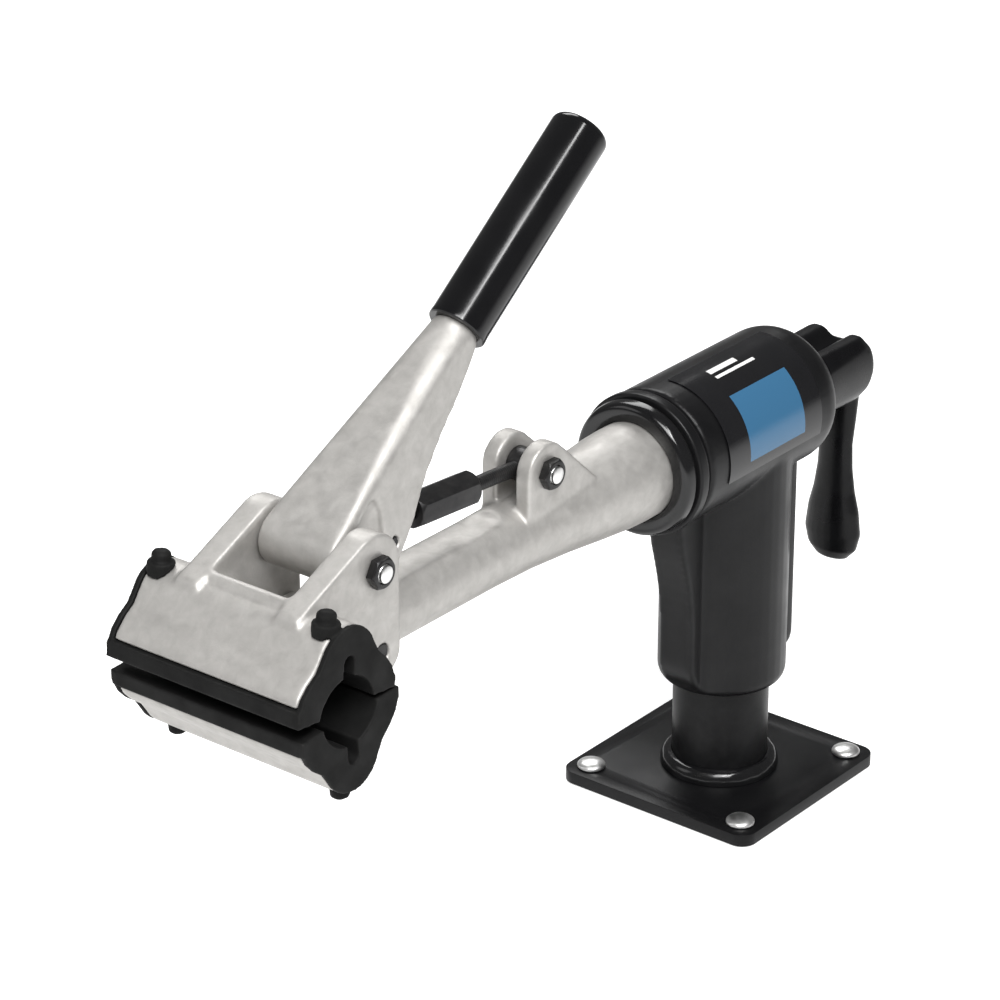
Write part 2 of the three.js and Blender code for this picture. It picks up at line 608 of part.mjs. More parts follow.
const reach = linkReach.length();
addPiece("link_rear_end", linkEnd(0, LINK.eye, PIN.hole, -62, -6), "blackSteel", linkFrame);
addPiece("turnbuckle", turnbuckle(), "blackSteel", linkFrame);
const frontEnd = linkEnd(-reach, LINK.clearance + 2.8, LINK.clearance, -reach + 9, -70);
addPiece("link_front_end", frontEnd, "blackSteel", linkFrame);

export default stand;
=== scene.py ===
# %% [markdown]
# # A bench-mounted bike repair stand
# The stand is a black base and head with a silver cast clamp that turns in the head's barrel. The packed
# CAD model already has every size right, so it is loaded first as a fixed frame. Each cell then makes or
# finishes one piece around it.

# %% The frame
import json
from contextlib import contextmanager
from math import atan2, cos, pi, radians, sin

import bmesh
import bpy
from mathutils import Matrix, Vector


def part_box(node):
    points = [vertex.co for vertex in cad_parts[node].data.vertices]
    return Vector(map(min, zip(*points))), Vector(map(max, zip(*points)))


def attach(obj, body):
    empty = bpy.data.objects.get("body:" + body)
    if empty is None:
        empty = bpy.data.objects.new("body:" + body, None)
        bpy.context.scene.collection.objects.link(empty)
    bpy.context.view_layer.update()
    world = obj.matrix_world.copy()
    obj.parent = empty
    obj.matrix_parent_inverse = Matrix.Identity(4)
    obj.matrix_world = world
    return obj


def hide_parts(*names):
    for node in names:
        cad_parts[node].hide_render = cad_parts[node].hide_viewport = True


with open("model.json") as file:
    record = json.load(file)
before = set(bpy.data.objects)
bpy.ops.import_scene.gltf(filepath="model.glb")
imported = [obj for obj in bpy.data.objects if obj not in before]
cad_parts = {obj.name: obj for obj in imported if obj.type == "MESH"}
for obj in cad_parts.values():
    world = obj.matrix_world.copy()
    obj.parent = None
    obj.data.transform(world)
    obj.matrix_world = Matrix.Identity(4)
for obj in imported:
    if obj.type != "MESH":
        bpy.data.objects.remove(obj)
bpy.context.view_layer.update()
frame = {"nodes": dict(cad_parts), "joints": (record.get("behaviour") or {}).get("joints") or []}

MM = 0.001
pivot = {joint["name"]: Vector(joint["pos_m"]) for joint in frame["joints"]}
in_mm = {name: tuple(round(c / MM, 1) for c in place) for name, place in pivot.items()}
print("nodes", len(frame["nodes"]), "pivots in mm", in_mm)

# %% [markdown]
# ## Camera
# A long lens from a little over two metres keeps the lines nearly parallel, which suits a product view. Its
# place is set outright. Its two angles are the bearing, which goes round the object, and the rise above the
# floor.

# %% The camera
BEARING, RISE, LENS = radians(38.61), radians(25.03), 144
CAMERA_PLACE = (1.1299, -1.6109, 1.0839)
camera_data = bpy.data.cameras.new("camera")
camera_data.lens, camera_data.sensor_width = LENS, 36
camera_data.clip_start, camera_data.clip_end = 0.05, 50
camera = bpy.data.objects.new("camera", camera_data)
bpy.context.scene.collection.objects.link(camera)
camera.location = CAMERA_PLACE
camera.rotation_euler = (pi / 2 - RISE, 0, BEARING)
bpy.context.scene.camera = camera
print("camera distance from the post", round(camera.location.length, 2), "m")

# %% [markdown]
# ## Modelling tools
# By hand, a modeller adds a primitive, goes into edit mode, selects part of it and applies an operator.
# These helpers do the same. An operator acts on everything that is selected, so each one starts by clearing
# the selection.


# %% Tools for modelling by hand
def only(piece):
    if bpy.context.object and bpy.context.object.mode != "OBJECT":
        bpy.ops.object.mode_set(mode="OBJECT")
    bpy.ops.object.select_all(action="DESELECT")
    piece.select_set(True)
    bpy.context.view_layer.objects.active = piece
    return piece


def add(primitive, name, **settings):
    """A new primitive, selected on its own."""
    bpy.ops.object.select_all(action="DESELECT")
    getattr(bpy.ops.mesh, f"primitive_{primitive}_add")(**settings)
    piece = bpy.context.object
    piece.name = piece.data.name = name
    return only(piece)


@contextmanager
def editing(piece, mode="FACE"):
    only(piece)
    bpy.ops.object.mode_set(mode="EDIT")
    bpy.ops.mesh.select_mode(type=mode)
    bpy.ops.mesh.select_all(action="DESELECT")
    yield
    bpy.ops.object.mode_set(mode="OBJECT")


def pick(piece, kind, test):
    """In edit mode, selects the verts, edges or faces whose middle passes the test."""
    mesh = bmesh.from_edit_mesh(piece.data)
    bpy.ops.mesh.select_all(action="DESELECT")
    for part in getattr(mesh, kind):
        corners = [part] if kind == "verts" else part.verts
        if test(sum((v.co for v in corners), Vector()) / len(corners), part):
            part.select_set(True)
    mesh.select_flush_mode()
    bmesh.update_edit_mesh(piece.data)


def modify(piece, kind, **settings):
    """Adds a modifier and applies it."""
    only(piece)
    modifier = piece.modifiers.new(kind.title(), kind)
    for name, value in settings.items():
        setattr(modifier, name, value)
    bpy.ops.object.modifier_apply(modifier=modifier.name)
    return piece


def place(piece, location=(0, 0, 0), rotation=(0, 0, 0)):
    """Moves a piece made at the origin to its place, and stores the place in its mesh."""
    only(piece)
    piece.rotation_euler, piece.location = rotation, location
    bpy.ops.object.transform_apply(location=True, rotation=True, scale=True)
    return piece


def joined(name, *pieces):
    only(pieces[0])
    for piece in pieces:
        piece.select_set(True)
    bpy.ops.object.join()
    pieces[0].name = pieces[0].data.name = name
    return pieces[0]


def cut_away(piece, tool, operation="DIFFERENCE"):
    modify(piece, "BOOLEAN", object=tool, operation=operation, solver="EXACT")
    bpy.data.objects.remove(tool)
    return piece


# %% [markdown]
# Many pieces are turned on a lathe: rings, bolts, the grip, the post. The spin operator does the same. An
# outline of radius and height is laid out on one side of the axis, and spin sweeps it round.


# %% Turned pieces
def turned(name, profile, steps=96):
    """Spins a closed outline of (radius, height) points, in mm, round the Z axis."""
    piece = add("circle", name, vertices=len(profile), radius=0.01, fill_type="NOTHING")
    for vertex, (radius, height) in zip(piece.data.vertices, profile):
        vertex.co = (radius * MM, 0, height * MM)
    with editing(piece, "EDGE"):
        bpy.ops.mesh.select_all(action="SELECT")
        bpy.ops.mesh.spin(steps=steps, angle=2 * pi, center=(0, 0, 0), axis=(0, 0, 1))
        bpy.ops.mesh.select_all(action="SELECT")
        bpy.ops.mesh.remove_doubles(threshold=0.002 * MM)
        bpy.ops.mesh.dissolve_degenerate(threshold=0.001 * MM)
        bpy.ops.mesh.normals_make_consistent(inside=False)
    return piece


def rounded(profile, corners, bend=5):
    """A copy of an outline with the corners of the given numbers rounded: {corner number: radius}."""
    out = []
    for i, point in enumerate(profile):
        if i not in corners:
            out.append(point)
            continue
        here, before, after = (Vector(profile[k % len(profile)]) for k in (i, i - 1, i + 1))
        start = here + (before - here).normalized() * corners[i]
        end = here + (after - here).normalized() * corners[i]
        for k in range(bend + 1):
            t = k / bend
            out.append(tuple(start.lerp(here, t).lerp(here.lerp(end, t), t)))
    return out


TO_Y = (-pi / 2, 0, 0)  # turns +Z to +Y
TO_X = (0, pi / 2, 0)  # turns +Z to +X

# %% [markdown]
# ## Surface effects as node groups
# Three effects are shared by most finishes. Cast grain is the fine bumpiness of a sand- or die-cast skin or
# of a sprayed coat. Blotches are the slow changes of tone over a few centimetres. Edge rub marks the outer
# edges, where hands and clothes polish a surface first. Each is one node group that puts out plain values.


# %% Node helpers
def wire(tree, kind, settings=None, **inputs):
    """Adds a node, sets its options, and links or sets its inputs by name; an underscore stands for a space."""
    node = tree.nodes.new(kind)
    for name, value in (settings or {}).items():
        setattr(node, name, value)
    for name, value in inputs.items():
        socket = node.inputs[int(name[1:])] if name[1:].isdigit() else node.inputs[name.replace("_", " ")]
        if isinstance(value, bpy.types.NodeSocket):
            tree.links.new(value, socket)
        else:
            socket.default_value = value
    return node


def effect_group(name, inputs, outputs):
    """A node group with float inputs {name: default} and float outputs."""
    tree = bpy.data.node_groups.new(name, "ShaderNodeTree")
    for socket, value in inputs.items():
        tree.interface.new_socket(socket, in_out="INPUT", socket_type="NodeSocketFloat").default_value = value
    for socket in outputs:
        tree.interface.new_socket(socket, in_out="OUTPUT", socket_type="NodeSocketFloat")
    return tree, tree.nodes.new("NodeGroupInput").outputs, tree.nodes.new("NodeGroupOutput").inputs


def remap(tree, value, low, high, to_low, to_high):
    node = wire(tree, "ShaderNodeMapRange", Value=value)
    for name, number in (("From Min", low), ("From Max", high), ("To Min", to_low), ("To Max", to_high)):
        node.inputs[name].default_value = number
    return node.outputs["Result"]


def maths(tree, operation, a, b=0.0):
    return wire(tree, "ShaderNodeMath", {"operation": operation}, _0=a, _1=b).outputs[0]


# %% Grain, blotches and edge rub
grain, g_in, g_out = effect_group("Surface grain", {"Size mm": 1.0, "Roughness": 0.6}, ["Height"])
place_on = grain.nodes.new("ShaderNodeTexCoord").outputs["Object"]
frequency = maths(grain, "DIVIDE", 1000.0, g_in["Size mm"])
noise = wire(grain, "ShaderNodeTexNoise", Vector=place_on, Scale=frequency, Detail=3.0, Roughness=g_in["Roughness"])
grain.links.new(noise.outputs["Fac"], g_out["Height"])

blotches, b_in, b_out = effect_group("Blotches", {"Size mm": 20.0}, ["Tone", "Sheen"])
place_on = blotches.nodes.new("ShaderNodeTexCoord").outputs["Object"]
frequency = maths(blotches, "DIVIDE", 1000.0, b_in["Size mm"])
broad = wire(blotches, "ShaderNodeTexNoise", Vector=place_on, Scale=frequency, Detail=4.0, Roughness=0.6,
             Distortion=0.4)
shifted = wire(blotches, "ShaderNodeVectorMath", {"operation": "ADD"}, _0=place_on, _1=(0.37, 0.11, 0.23))
other = wire(blotches, "ShaderNodeTexNoise", Vector=shifted.outputs[0], Scale=frequency, Detail=2.0, Roughness=0.5)
blotches.links.new(remap(blotches, broad.outputs["Fac"], 0.3, 0.7, 0.0, 1.0), b_out["Tone"])
blotches.links.new(remap(blotches, other.outputs["Fac"], 0.3, 0.7, 0.0, 1.0), b_out["Sheen"])

edge_rub, e_in, e_out = effect_group("Edge rub", {"Amount": 1.0, "Size mm": 6.0}, ["Mask"])
sharpness = edge_rub.nodes.new("ShaderNodeNewGeometry").outputs["Pointiness"]
place_on = edge_rub.nodes.new("ShaderNodeTexCoord").outputs["Object"]
frequency = maths(edge_rub, "DIVIDE", 1000.0, e_in["Size mm"])
patch = wire(edge_rub, "ShaderNodeTexNoise", Vector=place_on, Scale=frequency, Detail=5.0, Roughness=0.7)
edges = remap(edge_rub, sharpness, 0.51, 0.58, 0.0, 1.0)
patchy = maths(edge_rub, "MULTIPLY", edges, remap(edge_rub, patch.outputs["Fac"], 0.35, 0.65, 0.0, 1.0))
edge_rub.links.new(maths(edge_rub, "MULTIPLY", patchy, e_in["Amount"]), e_out["Mask"])
print("effect groups", [g.name for g in bpy.data.node_groups])


# %% [markdown]
# ## Finishes
# Each finish is a material of its own with the Principled shader in it, and places the effect groups with
# its own sizes. The colour is mixed from two near tones by the blotches, roughness changes with the sheen,
# and the grain drives a bump.


# %% A finish with grain, blotches and rubbed edges
def finish(name, tone_a, tone_b, rough, metal=0.0, grain_mm=0.8, bump_mm=0.01, blotch_mm=20.0, rub=0.0,
           rub_tone=None, **shader):
    """rough is (smoothest, roughest). rub is how much the edges show rub_tone."""
    material = bpy.data.materials.new(name)
    material.use_nodes = True
    tree = material.node_tree
    surface = tree.nodes["Principled BSDF"]
    bumps = wire(tree, "ShaderNodeGroup", {"node_tree": grain}, Size_mm=grain_mm, Roughness=0.6)
    spots = wire(tree, "ShaderNodeGroup", {"node_tree": blotches}, Size_mm=blotch_mm)
    colour = wire(tree, "ShaderNodeMix", {"data_type": "RGBA"}, Factor=spots.outputs["Tone"])
    colour.inputs[6].default_value, colour.inputs[7].default_value = (*tone_a, 1), (*tone_b, 1)
    shade = colour.outputs[2]
    roughness = remap(tree, spots.outputs["Sheen"], 0.0, 1.0, *rough)
    if rub:
        rubbed = wire(tree, "ShaderNodeGroup", {"node_tree": edge_rub}, Amount=rub, Size_mm=6.0)
        worn = wire(tree, "ShaderNodeMix", {"data_type": "RGBA"}, Factor=rubbed.outputs["Mask"])
        tree.links.new(shade, worn.inputs[6])
        worn.inputs[7].default_value = (*rub_tone, 1)
        shade = worn.outputs[2]
    tree.links.new(shade, surface.inputs["Base Color"])
    tree.links.new(roughness, surface.inputs["Roughness"])
    bump = wire(tree, "ShaderNodeBump", Height=bumps.outputs["Height"], Strength=1.0, Distance=bump_mm * MM)
    tree.links.new(bump.outputs["Normal"], surface.inputs["Normal"])
    surface.inputs["Metallic"].default_value = metal
    for socket, value in shader.items():
        surface.inputs[socket.replace("_", " ")].default_value = value
    return material


# %% The finishes of this stand
cast_silver = finish("cast silver", (0.4, 0.388, 0.37), (0.48, 0.467, 0.447), (0.46, 0.6), metal=0.6,
                     grain_mm=1.0, bump_mm=0.06, blotch_mm=7, rub=0.35, rub_tone=(0.8, 0.79, 0.77))
head_paint = finish("head paint", (0.0035, 0.0035, 0.004), (0.007, 0.007, 0.0075), (0.3, 0.42), grain_mm=0.9,
                    bump_mm=0.03, blotch_mm=24, rub=0.25, rub_tone=(0.02, 0.02, 0.02), Specular_IOR_Level=0.22)
powder_coat = finish("powder coat", (0.003, 0.003, 0.0035), (0.006, 0.006, 0.0065), (0.3, 0.42), grain_mm=0.7,
                     bump_mm=0.05, blotch_mm=30, rub=0.2, rub_tone=(0.02, 0.02, 0.02), Specular_IOR_Level=0.18)
handle_paint = finish("handle paint", (0.002, 0.002, 0.0025), (0.004, 0.004, 0.0045), (0.24, 0.34), grain_mm=1.2,
                      bump_mm=0.015, blotch_mm=18, Specular_IOR_Level=0.2)
bright_zinc = finish("bright zinc", (0.74, 0.74, 0.73), (0.86, 0.86, 0.85), (0.3, 0.42), metal=1.0, grain_mm=0.4,
                     bump_mm=0.0015, blotch_mm=4)
black_oxide = finish("black oxide", (0.014, 0.014, 0.015), (0.028, 0.027, 0.027), (0.3, 0.42), metal=0.6,
                     grain_mm=0.5, bump_mm=0.006, blotch_mm=7, rub=0.2, rub_tone=(0.07, 0.068, 0.065))
jaw_rubber = finish("jaw rubber", (0.004, 0.004, 0.004), (0.008, 0.008, 0.0078), (0.62, 0.8), grain_mm=0.35,
                    bump_mm=0.02, blotch_mm=14, rub=0.3, rub_tone=(0.04, 0.04, 0.038), Specular_IOR_Level=0.16)
grip_vinyl = finish("grip vinyl", (0.003, 0.003, 0.0035), (0.005, 0.005, 0.0055), (0.12, 0.19), grain_mm=2.5,
                    bump_mm=0.012, blotch_mm=25, Specular_IOR_Level=0.4)
bronze = finish("bronze", (0.40, 0.26, 0.12), (0.5, 0.33, 0.15), (0.3, 0.45), metal=1.0, grain_mm=0.4,
                bump_mm=0.005, blotch_mm=8)
gloss_ring = finish("gloss ring", (0.004, 0.004, 0.0045), (0.007, 0.007, 0.0075), (0.12, 0.2), grain_mm=1.5,
                    bump_mm=0.008, blotch_mm=20, Specular_IOR_Level=0.45)
print("finishes", len(bpy.data.materials))


# %% [markdown]
# Every finished piece is handed over in the same way: it gets its finish, smooth shading with sharp edges kept
# and the body it moves with, and the CAD nodes that it stands for are hidden.


# %% Handing a piece over
def hand_over(piece, material, body, slot, *nodes, angle=35):
    only(piece)
    piece.data.materials.clear()
    piece.data.materials.append(material)
    bpy.ops.object.shade_smooth_by_angle(angle=radians(angle))
    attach(piece, body)
    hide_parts(*nodes)
    size = " x ".join(f"{side / MM:.1f}" for side in piece.dimensions)
    print(f"{piece.name}: {len(piece.data.polygons)} faces, {size} mm")
    return piece


# %% [markdown]
# ## Castings
# The head, the clamp arm, the upper jaw, the lever and the lock handle are castings. Their CAD solids have
# the right shape but knife-sharp edges and corners. Real castings have rounded edges and a fillet in every
# inner corner, or the metal would crack as it cools. So a merged copy is remeshed in fine voxels and
# smoothed, which melts both kinds of corner at once.


# %% Castings from merged copies
def casting(node, name, voxel_mm, passes):
    piece = bpy.data.objects.new(name, frame["nodes"][node].data.copy())
    bpy.context.scene.collection.objects.link(piece)
    with editing(piece, "VERT"):
        bpy.ops.mesh.select_all(action="SELECT")
        bpy.ops.mesh.remove_doubles(threshold=0.001 * MM)
    modify(piece, "REMESH", mode="VOXEL", voxel_size=voxel_mm * MM)
    modify(piece, "SMOOTH", factor=0.5, iterations=passes)
    return piece


hand_over(casting("head_casting", "head", 1.25, 8), head_paint, "stand", "cast_head", "head_casting", angle=180)
hand_over(casting("clamp_arm", "arm", 1.15, 6), cast_silver, "clamp", "cast_clamp", "clamp_arm", angle=180)
hand_over(casting("upper_jaw", "jaw", 0.95, 26), cast_silver, "upper_jaw", "cast_clamp", "upper_jaw", angle=180)
hand_over(casting("lever", "lever_casting", 0.9, 34), cast_silver, "lever", "cast_clamp", "lever", angle=180)
hand_over(casting("lock_handle", "lock_lever", 0.9, 10), handle_paint, "lock_handle", "handle_black", "lock_handle",
          angle=180)

# %% [markdown]
# The two jaw covers are soft rubber mouldings with rounded lips, made in the same way with a finer voxel so
# that the narrow slot at the root of the groove stays crisp.

# %% Jaw covers
hand_over(casting("upper_jaw_cover", "cover_upper", 0.7, 4), jaw_rubber, "upper_jaw", "jaw_rubber",
          "upper_jaw_cover", angle=180)
hand_over(casting("lower_jaw_cover", "cover_lower", 0.7, 4), jaw_rubber, "clamp", "jaw_rubber",
          "lower_jaw_cover", angle=180)

# %% [markdown]
# ## Base plate and bolts
# The plate is flame-cut steel with rounded corners and a powder coat that softens every edge. It starts as
# a cube at its real size. The four upright edges are bevelled wide, the bolt holes are cut, and a fine
# bevel goes on last.

# %% Base plate
low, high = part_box("base_plate")
plate = add("cube", "plate", size=1, location=(low + high) / 2, scale=high - low)
bpy.ops.object.transform_apply(location=True, rotation=True, scale=True)
with editing(plate, "EDGE"):
    pick(plate, "edges", lambda middle, edge: abs(edge.verts[0].co.z - edge.verts[1].co.z) > 1 * MM)
    bpy.ops.mesh.bevel(offset=9 * MM, segments=10, affect="EDGES")
bolts = [name for name in frame["nodes"] if name.startswith("mounting_bolt")]
bolt_places = {name: (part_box(name)[0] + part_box(name)[1]) / 2 for name in bolts}
for spot in bolt_places.values():
    cut_away(plate, add("cylinder", "drill", vertices=32, radius=3.7 * MM, depth=0.03, location=(spot.x, spot.y, 0)))
modify(plate, "BEVEL", width=0.9 * MM, segments=3, limit_method="ANGLE", angle_limit=radians(40))
hand_over(plate, powder_coat, "stand", "black_coat", "base_plate")

# %% [markdown]
# A carriage bolt has a low dome and no slot. It is turned once and copied to the four holes, each copy with
# its own mesh. The dome's edge is rolled over a little, which gives the bright rim that catches the light.

# %% Mounting bolts
plate_top = high.z / MM
dome = [(8 * cos(radians(a)), plate_top + 1.1 + 3.3 * sin(radians(a))) for a in range(10, 81, 10)]
bolt_profile = [(0, 0.4), (3.1, 0.4), (3.2, 0.8), (3.2, plate_top + 0.3)]
bolt_profile += [(7.4, plate_top + 0.3), (7.9, plate_top + 0.7)]
first_bolt = turned("bolt_head", bolt_profile + dome + [(0, plate_top + 4.4)], steps=48)
for number, (name, spot) in enumerate(sorted(bolt_places.items()), 1):
    bolt = first_bolt.copy()
    bolt.data, bolt.name = first_bolt.data.copy(), f"carriage_bolt_{number}"
    bpy.context.scene.collection.objects.link(bolt)
    place(bolt, (spot.x, spot.y, 0))
    hand_over(bolt, bright_zinc, "stand", "zinc_bolts", name)
bpy.data.objects.remove(first_bolt)

# %% [markdown]
# ## Post and its weld
# The post is a length of steel pipe. It is turned as a closed ring outline, wall and all. The weld at its
# foot was laid as a bead, so its skin has low, slow waves; a Displace modifier with a soft cloud texture
# makes them.

# %% Post
PIPE_WALL = 3.9
low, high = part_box("post_tube")
radius, top, foot = high.x / MM, high.z / MM, low.z / MM
bore = radius - PIPE_WALL
pipe_profile = [(bore, foot), (radius, foot), (radius, top - 1), (radius - 1, top), (bore, top)]
hand_over(turned("post", pipe_profile), powder_coat, "stand", "black_coat", "post_tube")

# %% Weld bead
low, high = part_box("weld_bead")
inner, outer, foot, top = radius + 0.3, high.x / MM, low.z / MM, high.z / MM
bulge = []
for step in range(9):
    t = step / 8
    angle = radians(90 * t)
    bulge.append((inner + 0.5 + (outer - inner - 0.5) * cos(angle) ** 0.9, foot + (top - foot) * sin(angle) ** 0.9))
weld = turned("weld", [(inner, foot)] + bulge + [(inner, top)], steps=144)
ripple = bpy.data.textures.new("weld ripple", "CLOUDS")
ripple.noise_scale = 0.006
modify(weld, "DISPLACE", texture=ripple, strength=0.5 * MM, mid_level=0.6, texture_coords="LOCAL")
hand_over(weld, gloss_ring, "stand", "black_coat", "weld_bead")

# %% [markdown]
# ## Rings at the front of the barrel
# Three turned rings sit between the arm and the head: a glossy collar that turns with the clamp, a thin
# dark washer, and a ring on the barrel's end. Their rounded edges give the row of fine highlights that a
# flat-sided ring lacks.


# %% Collar, washer and front ring
def barrel_ring(name, profile):
    """Turns (radius, y) points about the barrel's axis."""
    return place(turned(name, profile, steps=128), (0, 0, pivot["clamp_rotate"].z), TO_Y)


low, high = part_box("shaft_collar")
front, rear, outer = low.y / MM, high.y / MM, high.x / MM
collar_profile = rounded([(27.1, front + 1), (29, front), (outer - 1, front), (outer, rear), (27.1, rear)],
                         {2: 4.2, 3: 0.8}, bend=8)
hand_over(barrel_ring("collar", collar_profile), gloss_ring, "clamp", "cast_head", "shaft_collar")
low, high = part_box("friction_washer")
front, rear, outer = low.y / MM, high.y / MM, high.x / MM
thin_profile = rounded([(27.2, front), (outer, front), (outer, rear), (27.2, rear)], {1: 0.4, 2: 0.4})
hand_over(barrel_ring("thin_washer", thin_profile), black_oxide, "clamp", "black_steel", "friction_washer")
low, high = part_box("front_ring")
front, rear, outer = low.y / MM, high.y / MM, high.x / MM
ring_profile = rounded([(27.3, front), (outer, front), (outer, front + 7), (37, front + 7), (37, rear), (27.3, rear)],
                       {1: 1.6, 2: 1.4})
hand_over(barrel_ring("barrel_ring", ring_profile), head_paint, "stand", "cast_head", "front_ring")
low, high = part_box("rear_washer")
front, rear = low.y / MM, high.y / MM
washer_profile = rounded([(8.8, front), (21, front), (21, rear), (8.8, rear)], {1: 0.5, 2: 0.5})
hand_over(barrel_ring("handle_washer", washer_profile), bright_zinc, "stand", "zinc_bolts", "rear_washer")

# %% [markdown]
# ## Lever grip
# The grip is a dipped vinyl sleeve: a rounded end, a slightly swollen mouth where it was rolled on, and a
# very glossy skin that gives one long narrow highlight. It is turned on its own axis, then tilted into the
# lever's line.

# %% Lever grip
LEVER_TILT = radians(37.2)  # the lever's rise above the horizontal
GRIP_AXIS = -2.1 * MM  # how far behind the lever pivot's line the grip's axis lies
grip_profile = [(11.4, 131.3), (14.8, 131.3), (15.4, 131.9), (15.5, 133.2), (15.3, 135.5), (15.3, 190)]
grip_profile += [(15.3 - 4.6 * (1 - cos(radians(a))), 251.4 + 4.6 * sin(radians(a))) for a in range(0, 91, 10)]
grip_profile += [(0, 256), (0, 250.4), (11.4, 250.4)]
grip = place(turned("grip", grip_profile, steps=96), (0, 0, 0), TO_Y)
place(grip, (0, 0, GRIP_AXIS))
place(grip, pivot["lever_swing"], (LEVER_TILT, 0, 0))
hand_over(grip, grip_vinyl, "lever", "grip_vinyl", "lever_grip")

# %% [markdown]
# ## Bolts and nuts of the linkage
# A hex head is a six-sided cylinder whose corners are turned down. Intersecting it with a turned dome
# leaves the curved chamfer of a real nut. The bolt's end shows a few threads, modelled as turned grooves.


# %% Hex heads, nuts and thread ends
def hexagon(name, across_corners, height):
    """A hex block standing on the origin with its top corners turned down."""
    block = add("cylinder", name, vertices=6, radius=across_corners / 2 * MM, depth=height * MM,
                location=(0, 0, height / 2 * MM))
    bpy.ops.object.transform_apply(location=True, rotation=True, scale=True)
    r = across_corners / 2
    dome_profile = [(0, -1), (r + 1, -1), (r + 1, height - 2), (r * 0.985, height - 1.35), (r * 0.9, height - 0.45),
                    (r * 0.84, height - 0.06), (r * 0.8, height + 0.01), (0, height + 0.01)]
    cut_away(block, turned("dome", dome_profile, steps=64), "INTERSECT")
    return modify(block, "BEVEL", width=0.18 * MM, segments=2, limit_method="ANGLE", angle_limit=radians(30))


def threaded(name, radius, start, end, pitch=1.25, depth=0.45):
    """A rod along Z with thread grooves from start to end."""
    profile = [(0, start), (radius - depth, start)]
    ridge = start
    while ridge + pitch < end - 0.6:
        profile += [(radius - depth, ridge + 0.1), (radius, ridge + 0.45 * pitch), (radius, ridge + 0.62 * pitch)]
        ridge += pitch
    profile += [(radius - depth, ridge + 0.1), (radius - depth, end - 0.3), (radius - depth - 0.5, end), (0, end)]
    return turned(name, profile, steps=40)


BOLT_RADIUS, HEX = 4.75, 16.8  # a 3/8 inch bolt, and its nut across the corners


def cross_bolt(label, centre, reach, body, bolt_node, nut_node):
    """A bolt along X through two ears: its head at the left, its nut and thread end at the right."""
    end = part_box(bolt_node)[1].x / MM
    head = place(hexagon("head", HEX, 5), (-(reach + 0.3) * MM, 0, 0), (0, -pi / 2, 0))
    rod = [(0, -reach - 1), (BOLT_RADIUS, -reach - 1), (BOLT_RADIUS, reach), (0, reach)]
    shank = place(turned("shank", rod, steps=40), (0, 0, 0), TO_X)
    thread_end = place(threaded("thread", BOLT_RADIUS, reach - 0.1, end), (0, 0, 0), TO_X)
    bolt = place(joined(f"{label}_bolt", head, shank, thread_end), centre)
    hand_over(bolt, bright_zinc, body, "zinc_bolts", bolt_node)
    nut = hexagon(f"{label}_hex_nut", HEX, 5)
    bore = [(0, -1), (BOLT_RADIUS + 0.15, -1), (BOLT_RADIUS + 0.15, 4.2), (BOLT_RADIUS + 0.8, 5.2), (0, 5.2)]
    cut_away(nut, turned("bore", bore, steps=40))
    place(nut, ((reach + 0.3) * MM, 0, 0), TO_X)
    hand_over(place(nut, centre), black_oxide, body, "black_steel", nut_node)


cross_bolt("lever_pivot", pivot["lever_swing"], 38.3, "upper_jaw", "lever_bolt", "lever_nut")
cross_bolt("link_pivot", pivot["link_swing"], 15.5, "clamp", "rear_link_bolt", "rear_link_nut")

# %% [markdown]
# ## Pins
# The jaw's hinge pin and the pin between the lever and the link are plain ground pins with chamfered ends.


# %% Pins
def cross_pin(name, node, body):
    low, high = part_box(node)
    radius, end = (high.z - low.z) / 2 / MM, high.x / MM
    profile = [(0, -end), (radius - 0.6, -end), (radius, -end + 0.6)]
    profile += [(radius, end - 0.6), (radius - 0.6, end), (0, end)]
    pin = place(turned(name, profile, steps=48), (0, (low.y + high.y) / 2, (low.z + high.z) / 2), TO_X)
    hand_over(pin, black_oxide, body, "black_steel", node)


cross_pin("hinge_pin", "jaw_pin", "clamp")
cross_pin("lever_link_pin", "link_pin", "lever")

# %% [markdown]
# ## Adjustable link
# A hex turnbuckle joins two threaded rods, each with an eye. Turning the hex sets how tightly the jaws
# close. The rods are made on the Z axis, where turning is easiest, then laid along the link's own line.

# %% The link
along = next(Vector(j["axis"]) for j in frame["joints"] if j["name"] == "turnbuckle_turn")
link_tilt = atan2(along.z, -along.y)  # the link's rise towards the lever
rear_eye = pivot["link_swing"]


def lay_on_link(piece):
    """Turns a piece made along +Z so that +Z runs from the rear eye towards the lever."""
    place(piece, (0, 0, 0), (pi / 2, 0, 0))
    return place(piece, rear_eye, (-link_tilt, 0, 0))


def rounded_eye(node, name, rod_from, rod_to):
    eye = casting(node, name, 0.5, 4)
    rod = lay_on_link(threaded("rod", 4.02, rod_from, rod_to, pitch=1.5, depth=0.55))
    return joined(name, eye, rod)


